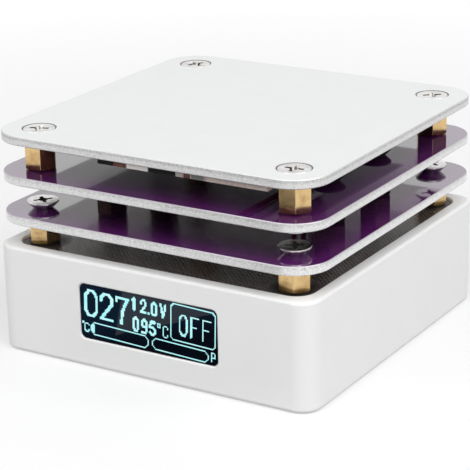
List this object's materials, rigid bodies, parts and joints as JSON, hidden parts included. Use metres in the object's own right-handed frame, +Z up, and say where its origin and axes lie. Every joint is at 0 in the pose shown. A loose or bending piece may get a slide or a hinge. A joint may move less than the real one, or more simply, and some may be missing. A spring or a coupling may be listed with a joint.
{
  "type": "preheating hot plate",
  "caption": "Small square preheating hot plate: silver heating plate over stacked shield plates on brass standoffs, with a white base that holds a display, power inlets and sprung buttons.",
  "frame": {"origin": "middle of the base's underside, on the surface that the hot plate stands on", "axes": "+Z up towards the heating plate, -Y towards the display, +X to the right of someone who reads it"},
  "size_m": [0.068, 0.068, 0.0425],
  "materials": {
    "base_plastic": "satin",
    "brass": "satin",
    "black_board": "gloss",
    "purple_plate": "gloss",
    "silver_plate": "satin",
    "nickel": "polished",
    "black_part": "matte",
    "copper": "satin",
    "ceramic": "satin",
    "terminal": "satin",
    "white_lead": "satin",
    "red_lead": "satin",
    "display_glass": "gloss",
    "foam": "matte",
    "blue_board": "gloss",
    "black_plastic": "matte",
    "steel": "brushed",
    "button_plastic": "satin",
    "ferrite": "matte",
    "can_aluminium": "brushed"
  },
  "bodies": {
    "hot_plate": {"base_housing": "base_plastic", "threaded_inserts": "brass", "main_board": "black_board", "lower_standoffs": "brass", "lower_shield_plate": "purple_plate", "lower_plate_screws": "nickel", "middle_standoffs": "brass", "middle_lower_screws": "nickel", "middle_upper_screws": "nickel", "upper_shield_plate": "purple_plate", "upper_plate_screws": "nickel", "upper_standoffs": "brass", "heating_plate": "silver_plate", "heating_plate_screws": "nickel", "sensor_chip": "black_part", "copper_tabs": "copper", "ceramic_chips": "ceramic", "thermal_fuse": "black_part", "heater_terminal": "terminal", "heater_leads": "white_lead", "sensor_leads": "red_lead", "display_glass": "display_glass", "display_tape": "foam", "display_board": "blue_board", "display_header": "black_part", "power_jack": "black_plastic", "jack_pin": "nickel", "usb_shell": "steel", "usb_tongue": "black_plastic", "switch_bodies": "black_plastic", "control_chip": "black_part", "power_transistor": "black_part", "inductor": "ferrite", "capacitor_can": "can_aluminium", "capacitor_base": "black_plastic"},
    "minus_key": {"minus_button": "button_plastic"},
    "set_key": {"set_button": "button_plastic"},
    "plus_key": {"plus_button": "button_plastic"}
  },
  "joints": [
    {"name": "minus_press", "type": "slide", "parent": "hot_plate", "child": "minus_key", "axis": [0, -1, 0], "range_m": [0, 0.0003], "stiffness_N_per_m": 500, "springref_m": -0.002},
    {"name": "set_press", "type": "slide", "parent": "hot_plate", "child": "set_key", "axis": [0, -1, 0], "range_m": [0, 0.0003], "stiffness_N_per_m": 500, "springref_m": -0.002},
    {"name": "plus_press", "type": "slide", "parent": "hot_plate", "child": "plus_key", "axis": [0, -1, 0], "range_m": [0, 0.0003], "stiffness_N_per_m": 500, "springref_m": -0.002}
  ]
}
